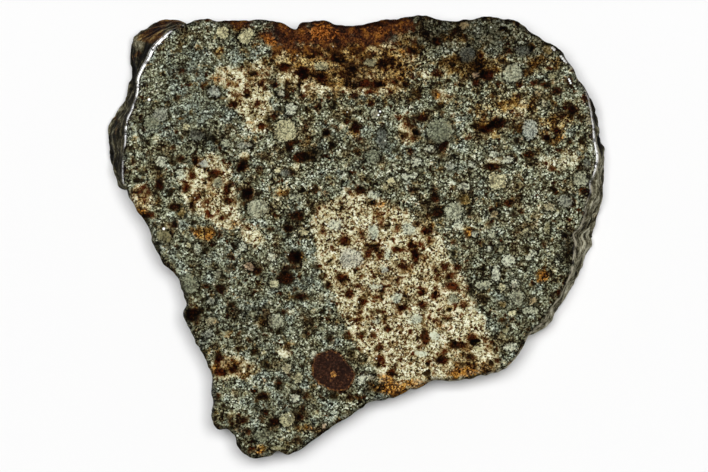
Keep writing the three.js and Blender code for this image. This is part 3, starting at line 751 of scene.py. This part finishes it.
def store_places(mesh, vertices, layout):
    """What is where in the stone, as numbers per vertex: how far in it lies from the outline,
    the fragments, clots, chondrules and nodule, and how strong each kind of stain is.

    Their edges wander by lumps 1.6 mm apart. Rust on the crust also moves by lumps 3.2 mm
    apart, the more the deeper it lies, so that it makes no upright streaks. On the back the
    fragments are those of the face, moved over and smaller.
    """
    first, bevels, walls, reliefs = layout
    level = vertices[:, :2]
    outline = closed_curve(STATIONS, OUTLINE_CORNERS)[:, :2]
    wander = shifts(vertices, 1.6, 7, (21, 22))
    row = np.repeat(np.arange(1, 1 + (len(vertices) - first) // COLUMNS), COLUMNS)
    row = np.concatenate([np.zeros(first), row, [row[-1] + 1]])
    on_back = row > bevels + walls
    on_crust = smooth_step(bevels - 2.5, bevels + 0.5, row) * ~on_back
    hidden = FAR_OUTSIDE * on_back  # keeps off the back what belongs to the face alone

    wandering = level + 0.9 * wander + on_back[:, None] * BACK_SHIFT
    fragments = [side_distance(wandering, corners) for corners in FRAGMENTS]
    clast = np.maximum.reduce(fragments) - BACK_SHRINK * on_back
    crack = abs(side_distance(level + 0.2 * wander, CRACK, False)) - hidden
    nodule = side_distance(level + 0.4 * wander, NODULE) + hidden
    tilted = level + 0.35 * wander

    store(mesh, "crust", on_crust)
    store(mesh, "back", on_back)
    store(mesh, "relief", reliefs)
    # the right flank painted lighter, as if lit more strongly from that side: painted light
    dust = smooth_step(5, 22, level[:, 0]) * smooth_step(16, 4, level[:, 1])  # right flank
    store(mesh, "dust", dust)
    store(mesh, "inward", side_distance(level, outline))
    store(mesh, "ground", smooth_step(0.01, 0.16, ground_width(level)))
    store(mesh, "clast", np.clip(clast, -3, 3))
    store(mesh, "crack", np.clip(crack, 0, 3))
    store(mesh, "nodule", np.clip(nodule, -3, 3))
    store(mesh, "clot", np.clip(depth_inside(tilted, CLOTS) + hidden, -2, 2))
    for name, patches in (
        ("pale", PALE_PATCHES), ("cool", COOL_PATCHES), ("orange", ORANGE_PATCHES),
        ("dark", DARK_PATCHES), ("burnt", BURNT_PATCHES),
    ):
        store(mesh, name, soft_patches(wandering, patches))
    sunk = on_crust * smooth_step(2.5, 6.5, THICKNESS - vertices[:, 2])
    run_down = wandering + 6 * sunk[:, None] * shifts(vertices, 3.2, 5, (23, 24))
    store(mesh, "rust", soft_patches(run_down, RUST_PATCHES))

    best = np.full(len(vertices), FAR_OUTSIDE)
    tone = np.zeros((len(vertices), 4))
    for colour, ovals in CHONDRULES.items():
        inside = depth_inside(tilted, ovals)
        nearer = inside > best
        best = np.where(nearer, inside, best)
        tone[nearer] = linear(colour)
    store(mesh, "chondrule", np.clip(best + hidden, -2, 2))
    layer = mesh.attributes.new("chondrule_tone", "FLOAT_COLOR", "POINT")
    layer.data.foreach_set("color", tone.astype(np.float32).ravel())


# ---------------------------------------------------------------- materials


class Wire:
    """A number on its way through a material: arithmetic on it adds Math nodes."""

    def __init__(self, paint, socket):
        self.paint = paint
        self.socket = socket

    def math(self, operation, *values):
        """One Math node, and its result."""
        return self.paint.node("Math", {"operation": operation}, dict(enumerate(values)))[0]

    def __add__(self, other):
        return self.math("ADD", self, other)

    def __sub__(self, other):
        return self.math("SUBTRACT", self, other)

    def __rsub__(self, other):
        return self.math("SUBTRACT", other, self)

    def __mul__(self, other):
        return self.math("MULTIPLY", self, other)

    def __abs__(self):
        return self.math("ABSOLUTE", self)

    def __lt__(self, other):
        return self.math("LESS_THAN", self, other)

    __radd__ = __add__
    __rmul__ = __mul__


class Paint:
    """A material being made: node() adds a node and gives back its outputs."""

    def __init__(self, name):
        self.material = bpy.data.materials.new(name)
        self.material.use_nodes = True
        self.tree = self.material.node_tree
        self.tree.nodes.clear()

    def node(self, kind, settings, values):
        """Adds one node. Settings come first (stops are a ramp's colours), then the sockets'
        values or links, by name or by number. Gives the outputs that are in use."""
        made = self.tree.nodes.new("ShaderNode" + kind)
        for key, value in settings.items():
            if key == "stops":
                self.set_stops(made.color_ramp, value)
            else:
                setattr(made, key, value)
        inputs = [s for s in made.inputs if not s.is_unavailable]
        for key, value in values.items():
            socket = inputs[key] if isinstance(key, int) else next(
                s for s in inputs if s.name == key
            )
            if isinstance(value, Wire):
                self.tree.links.new(value.socket, socket)
            else:
                socket.default_value = value
        return [Wire(self, s) for s in made.outputs if not s.is_unavailable]

    @staticmethod
    def set_stops(ramp, stops):
        """Gives a ramp its colours: (place from 0 to 1, #rrggbb)."""
        while len(ramp.elements) < len(stops):
            ramp.elements.new(1)
        for element, (position, colour) in zip(ramp.elements, stops):
            element.position = position
            element.color = linear(colour)

    def attribute(self, name):
        """The number kept under a name per vertex."""
        return self.node("Attribute", {"attribute_name": name}, {})[2]

    def attribute_colour(self, name):
        """The colour kept under a name per vertex."""
        return self.node("Attribute", {"attribute_name": name}, {})[0]

    def ramp(self, value, places, colours):
        """A colour by a number: the colours, given in one line, lie at the places."""
        return self.node("ValToRGB", {"stops": list(zip(places, colours.split()))}, {0: value})[0]

    def mix(self, low, high, share):
        """A colour between two, by a share from 0 to 1."""
        low, high = (linear(c) if isinstance(c, str) else c for c in (low, high))
        return self.node("Mix", {"data_type": "RGBA"}, {0: share, 1: low, 2: high})[0]

    def multiply(self, colour, other, share=1.0):
        """One colour multiplied by another, by a share from 0 to 1."""
        other = linear(other) if isinstance(other, str) else other
        settings = {"data_type": "RGBA", "blend_type": "MULTIPLY"}
        return self.node("Mix", settings, {0: share, 1: colour, 2: other})[0]

    def stain(self, colour, by, share):
        """A colour mixed with itself multiplied by another."""
        return self.mix(colour, self.multiply(colour, by), share)

    def step(self, low, high, value):
        """0 below low and 1 above high, smooth between."""
        settings = {"interpolation_type": "SMOOTHSTEP"}
        ends = {0: value, 1: low, 2: high, 3: 0.0, 4: 1.0}
        return self.node("MapRange", settings, ends)[0]

    def blend(self, low, high, share):
        """A number between two, by a share."""
        return self.node("Mix", {"data_type": "FLOAT"}, {0: share, 1: low, 2: high})[0]

    def noise(self, place, size, detail=2.0, roughness=0.5):
        """Cloudy noise from 0 to 1 with lumps about size mm across: number and colour."""
        values = {"Vector": place, "Scale": 1 / size, "Detail": detail, "Roughness": roughness}
        return self.node("TexNoise", {}, values)

    def cells(self, place, size):
        """Scattered round cells about size mm apart: the distance to the nearest middle, in
        sizes, and three numbers from 0 to 1 that belong to that cell."""
        distance, colour, _ = self.node("TexVoronoi", {}, {"Vector": place, "Scale": 1 / size})
        return distance, *self.node("SeparateColor", {}, {0: colour})

    def vector(self, operation, *values):
        """A vector or number worked out from others."""
        return self.node("VectorMath", {"operation": operation}, dict(enumerate(values)))[0]

    def shift(self, place, noise_colour, by):
        """A place pushed about by a noise, up to half of by each way."""
        centred = self.vector("SUBTRACT", noise_colour, (0.5, 0.5, 0.5))
        return self.vector("MULTIPLY_ADD", centred, (by, by, by), place)

    def finish(self, **values):
        """The shader itself, with the numbers and colours that feed it."""
        named = {key.replace("_", " "): value for key, value in values.items()}
        shader = self.node("BsdfPrincipled", {}, named)
        self.node("OutputMaterial", {}, {0: shader[0]})
        return self.material


def meteorite_stone():
    """Chondrite: rounded and broken grains of every size in a dark groundmass, stained by
    rust, with lighter fragments; round the edge it is covered by the crust."""
    paint = Paint("chondrite")
    here, ramp, step, blend = paint.attribute, paint.ramp, paint.step, paint.blend
    mix, stain, multiply = paint.mix, paint.stain, paint.multiply
    metres = paint.node("TexCoord", {}, {})[3]
    place = paint.vector("SCALE", metres, 1 / MM)

    slow, _ = paint.noise(place, 3.2, 3)
    coarse, coarse_colour = paint.noise(place, 0.9, 2)
    fine, fine_colour = paint.noise(place, 0.36, 1)
    grit, _ = paint.noise(place, 0.3, 2, 1.0)
    eased, bent, wandering = (paint.shift(place, coarse_colour, by) for by in (0.2, 0.7, 1.3))
    clump, _ = paint.noise(bent, 0.75, 2, 0.6)
    cloud, _ = paint.noise(paint.shift(bent, fine_colour, 0.2), 1.5, 4, 0.65)
    coal, _ = paint.noise(bent, 2.2, 4, 0.6)
    layered, _ = paint.noise(paint.vector("MULTIPLY", place, (0.35, 0.35, 1.6)), 0.8, 2)
    sawn, _ = paint.noise(paint.vector("MULTIPLY", place, (0.04, 1.0, 1.0)), 0.35, 2)
    middle_gap, grain, speckled, _ = paint.cells(place, 0.17)

    # the same numbers about zero, from half below it to half above
    slow_swing, coarse_swing, fine_swing, grit_swing, clump_swing = (
        noise - 0.5 for noise in (slow, coarse, fine, grit, clump)
    )
    cloud_swing, coal_swing, layered_swing, grain_swing = (
        noise - 0.5 for noise in (cloud, coal, layered, grain)
    )

    crust, inward, back, dust = here("crust"), here("inward"), here("back"), here("dust")
    rust_here, orange_here, calm = here("rust"), here("orange"), here("cool")
    clast = step(-0.3, 0.35, here("clast") + coarse_swing * 2)

    # groundmass: dark matrix, packed with rounded paler grains, the larger over the smaller
    value = (
        0.45 + grain_swing * 0.95 + (0.42 - middle_gap) * 0.4 + clump_swing * 0.7
        + grit_swing * 1.4
    )
    tint = 0.52 + coal_swing * 1.6 - calm * 0.2
    for size, share, low, more, keep, tone, lift in GRAIN_LAYERS:
        gap, shade, chosen, kind = paint.cells(eased, size)
        depth = low + kind * more - gap + grit_swing * 0.35
        there = (chosen < share) * step(-0.06, 0.06, depth)
        rim = (chosen < share) * (1 - step(0.02, 0.14, abs(depth)))
        lifted = value * keep + tone - MEAN_VALUE * keep + (shade - 0.5) * lift
        value = blend(value, lifted, there) - rim * 0.07
        tint = tint + (kind - 0.5) * there * 0.35
    speck = (speckled < 0.2) * (1 - step(0.3, 0.6, middle_gap))
    value = value + slow_swing * 0.5 - speck * 0.3 - step(0.52, 0.64, coal) * 0.1
    value = blend(value, 0.45, calm * 0.25)

    grey, warm, cool = (
        ramp(value, (0, 0.17, 0.35, 0.5, 0.65, 0.84, 1), colours) for colours in (
            "#0b0703 #241d10 #45422e #63644d #83876d #adb198 #d6d9ca",
            "#100803 #2a1c0d #4c3e25 #6e6444 #8e885f #b8b187 #dcd6ba",
            "#0a0907 #1f1f17 #414439 #5f665b #7f8a7f #abb5a6 #d3dacc",
        )
    )
    stone = mix(grey, warm, step(0.5, 0.8, tint) * 0.9)
    stone = mix(stone, cool, (1 - step(0.2, 0.5, tint)) * 0.8)

    # light fragments: cream to pale green, finely speckled
    gap, _, chosen, _ = paint.cells(bent, 1.3)
    patch = (chosen < 0.6) * step(-0.2, 0.15, 0.36 - gap)
    light_stone = ramp(
        value * 0.85 + 0.22 + patch * 0.1, (0.1, 0.3, 0.44, 0.58, 0.78, 1),
        "#1e1006 #543a1f #88784e #b3ae86 #cbcaac #e0e0cb",
    )
    light = step(0.35, 0.65, here("pale") + coarse_swing * 0.8)
    light = 1 - (1 - clast) * (1 - light * 0.8)
    stone = mix(stone, light_stone, light)

    # rust: brown clouds with dark hearts, closer together where the rust is strong
    stained = step(0.3, 0.9, rust_here + cloud_swing * 1.6)
    golden = ramp(value, (0.05, 0.28, 0.45, 0.67, 0.95), "#120703 #43280b #785620 #ac8d3e #ddcc84")
    stone = mix(stone, golden, stained * 0.85)
    rusted = cloud - (0.63 - rust_here * 0.12) + grain_swing * 0.06
    stone = stain(stone, "#bd9a56", step(-0.06, 0.02, rusted) * 0.8)
    stone = stain(stone, "#583a24", step(0.02, 0.08, rusted) * 0.85)

    # dark clots, many of them with a brown halo: the large ones, and scattered ones of three
    # sizes
    ragged = cloud_swing * 1.2 + grit_swing * 0.8 + grain_swing * 0.2
    clots = [(here("clot") * 0.9 - 0.03 + ragged * 1.2, 1.0, coarse)]
    for size, density in (
        (1.25, 0.26 + clast * 0.02 + rust_here * 0.3), (0.6, 0.18 + clast * 0.36),
        (0.4, 0.06 + clast * 0.36 + rust_here * 0.1),
    ):
        gap, kind, chosen, width = paint.cells(wandering, size)
        clots.append((0.14 + width * 0.28 - gap + ragged, chosen < density, kind))
    for depth, chosen, kind in clots:
        halo = mix("#b6884a", "#a79a78", step(0.4, 0.6, kind))
        heart = mix("#7c4626", "#4d3a28", step(0.45, 0.65, kind))
        stone = stain(stone, halo, step(-0.24, -0.02, depth) * chosen * 0.8)
        stone = stain(stone, heart, step(-0.06, 0.12, depth) * chosen)

    # chondrules that stand out one by one
    inside = here("chondrule") + coarse_swing * 0.8 + grain_swing * 0.2 + grit_swing * 0.5
    shades = ramp(value, (0.1, 0.4, 0.7), "#8a8a8a #dadada #ffffff")
    tone = multiply(paint.attribute_colour("chondrule_tone"), shades)
    rim = 1 - step(0.0, 0.2, abs(inside + 0.14))
    stone = multiply(stone, "#6e6452", rim * (1 - light * 0.8))
    stone = mix(stone, tone, step(-0.12, 0.16, inside) * 0.78)

    # soot, dark stains, the burnt band and its orange spots
    sooty = step(0.54, 0.66, coal + coarse_swing * 0.2) * (1 - clast * 0.6)
    stone = stain(stone, "#8a7254", sooty * 0.6)
    stone = stain(stone, "#5a4a32", step(0.2, 0.8, here("dark")) * 0.9)
    burnt = step(0.15, 0.65, here("burnt") + cloud_swing * 1.2)
    scorch = ramp(
        cloud + coarse_swing * 0.6 + grit_swing * 0.5 + grain_swing * 0.2,
        (0.36, 0.48, 0.6, 0.76), "#0f0705 #2a140a #50290d #8a5a1e",
    )
    stone = mix(stone, mix(multiply(stone, "#96521a"), scorch, 0.85), burnt)
    glow = step(0.2, 0.7, orange_here + cloud_swing * 1.6 + grain_swing * 0.5 - 0.15)
    orange = ramp(value, (0.1, 0.4, 0.65, 0.95), "#1c0d05 #643a13 #a06c26 #cfa04c")
    stone = mix(stone, multiply(orange, "#cfa695", burnt * 0.85), glow * 0.8)

    # rare bright flecks, and the glints as white spots in the colour: painted highlights
    gap, _, chosen, _ = paint.cells(place, 1.1)
    fleck = (chosen < 0.15) * (1 - step(0.05, 0.1, gap)) * (1 - burnt)
    stone = mix(stone, "#e4e8dc", fleck * 0.8)
    for x, y, size in GLINT_HIGHLIGHTS:
        apart = paint.vector("DISTANCE", place, (x, y, THICKNESS))
        stone = mix(stone, "#f4f6f4", 1 - step(size, size + 0.1, apart))

    # troilite nodule: dark, with a lighter middle and a rusty rim
    nodule = here("nodule") + coarse_swing * 0.6
    middle = step(0.3, 0.7, orange_here + grit_swing * 1.5)
    sulphide = ramp(
        value * 0.4 + 0.22 + middle * 0.34 + (1 - step(0.04, 0.22, nodule)) * 0.3,
        (0.15, 0.42, 0.58, 0.78, 1), "#140b09 #26160f #402618 #7a5028 #b5893f",
    )
    stone = stain(stone, "#8a5a2e", step(-0.35, 0.0, nodule) * 0.85)
    stone = mix(stone, sulphide, step(-0.04, 0.1, nodule))

    # fine pale crack along the big fragment's left side
    crack = 1 - step(0.03, 0.1, here("crack"))
    stone = mix(stone, "#cfc5a0", crack * step(0.38, 0.5, cloud) * 0.7)

    # dark brown band just inside the rim, and the marks of the blade on the sawn back
    edge = 1 - step(0.15, 0.7, inward + coarse_swing * 0.7)
    stone = stain(stone, "#4a3624", edge * 0.75)
    stone = stain(stone, "#cdc6b6", back * (1 - step(0.35, 0.6, sawn)))

    # crust: painted shade in its hollows and painted highlight on its ridges, painted light that
    # makes the right flank paler, and a painted highlight along its rim there as a pale line
    crust_value = (
        0.38 + here("relief") * 1.5 + dust * 0.24 + slow_swing * 0.4 + coarse_swing * 0.6
        + clump_swing * 0.6 + grain_swing * 0.2 + grit_swing * 0.5 + layered_swing * 0.8
    )
    crust_colour = ramp(
        crust_value, (0.05, 0.28, 0.44, 0.58, 0.75, 1),
        "#080604 #1b180f #373222 #605b46 #949078 #cac7b0",
    )
    rusty = step(0.45, 0.8, rust_here + cloud_swing * 1.4)
    rust_crust = ramp(crust_value, (0.15, 0.4, 0.58, 0.8), "#140905 #3f240e #6b4a1d #a08a4e")
    crust_colour = mix(crust_colour, rust_crust, rusty * 0.85)
    # a pale line along the rim of the right flank: painted highlight
    rim_highlight = (1 - step(0.06, 0.22, abs(inward))) * step(0.42, 0.6, coarse) * dust
    colour = mix(mix(stone, crust_colour, crust), "#a9a28c", rim_highlight * 0.7)

    # matt crust, half matt face, and a clear shine on the ground bevels
    ground = here("ground") * (1 - step(0.75, 0.9, inward))
    shine = ground * step(0.3, 0.5, coarse + grit_swing * 1.2) * (1 - step(0.4, 0.9, crust))
    roughness = blend(0.42 + fine_swing * 0.15, 0.85, crust)
    roughness = blend(roughness, 0.25, shine) + back * 0.35
    polish = blend((1 - crust) * (1 - back) * 0.03, 1.0, shine)
    height = crust * (coarse * 0.35 + fine * 0.15) + value * 0.004 + back * sawn * 0.02
    bump = paint.node("Bump", {}, {"Strength": 1.0, "Distance": MM, "Height": height})[0]
    return paint.finish(
        Base_Color=colour, Roughness=roughness, Normal=bump, Specular_IOR_Level=0.06,
        Coat_Weight=polish, Coat_Roughness=0.16, Coat_IOR=3.2,
    )


def white_paper():
    """Matt white paper."""
    return Paint("white_paper").finish(Base_Color=linear("#e3e3e3"), Roughness=0.9)


# ---------------------------------------------------------------- the stage


def soft_light(name, place, width, height, power):
    """A soft rectangular lamp at a place, turned to shine at the middle of the floor."""
    lamp = bpy.data.lights.new(name, "AREA")
    lamp.shape = "RECTANGLE"
    lamp.size, lamp.size_y = width, height
    lamp.energy = power
    thing = bpy.data.objects.new(name, lamp)
    thing.location = place
    look = Vector((0, 0, 0)) - Vector(place)
    thing.rotation_euler = look.to_track_quat("-Z", "Y").to_euler()
    bpy.context.scene.collection.objects.link(thing)
    return thing


def build_stage():
    """A paper floor, a softbox overhead, two strips low at the sides that only glint in the
    ground bevels, and a camera straight above, as far up as its view is wide times its lens
    over its sensor."""
    floor = bpy.data.meshes.new("paper_floor")
    corners = [(x * FLOOR, y * FLOOR, 0) for x, y in ((-1, -1), (1, -1), (1, 1), (-1, 1))]
    floor.from_pydata(corners, [], [(0, 1, 2, 3)])
    floor.materials.append(white_paper())
    sheet = bpy.data.objects.new("paper_floor", floor)
    bpy.context.scene.collection.objects.link(sheet)

    overhead = soft_light("softbox_overhead", (0, 0.1, 1.6), 0.6, 0.34, 32.6)
    overhead.visible_glossy = False
    for strip in (
        soft_light("strip_left", (-0.56, 0.22, 0.3), 0.8, 0.3, 3.4),
        soft_light("strip_right", (0.58, 0.1, 0.3), 0.7, 0.3, 2.1),
    ):
        strip.visible_diffuse = False

    world = bpy.data.worlds.new("studio")
    world.use_nodes = True
    glow = world.node_tree.nodes["Background"].inputs
    glow["Color"].default_value = (1, 1, 1, 1)
    glow["Strength"].default_value = 0.045
    bpy.context.scene.world = world

    view = bpy.data.cameras.new("camera")
    view.lens = LENS
    view.sensor_width = SENSOR
    view.clip_end = 10
    camera = bpy.data.objects.new("camera", view)
    reach = VIEW_WIDTH * MM / SENSOR * LENS
    x, y = VIEW_CENTRE
    camera.location = (x * MM, y * MM, THICKNESS * MM + reach)
    bpy.context.scene.collection.objects.link(camera)
    bpy.context.scene.camera = camera

    bpy.context.scene.view_settings.view_transform = "Standard"
    bpy.context.scene.view_settings.look = "None"


def build_slice():
    """The one piece: the whole stone, which stands for the solid of the same name."""
    *shape, layout = stone_mesh()
    stone = put_in_mesh("meteorite_slice_stone", *shape)
    store_places(stone.data, shape[0], layout)
    stone.data.materials.append(meteorite_stone())
    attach(stone, "root")
    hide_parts("meteorite_slice")


build_slice()
build_stage()
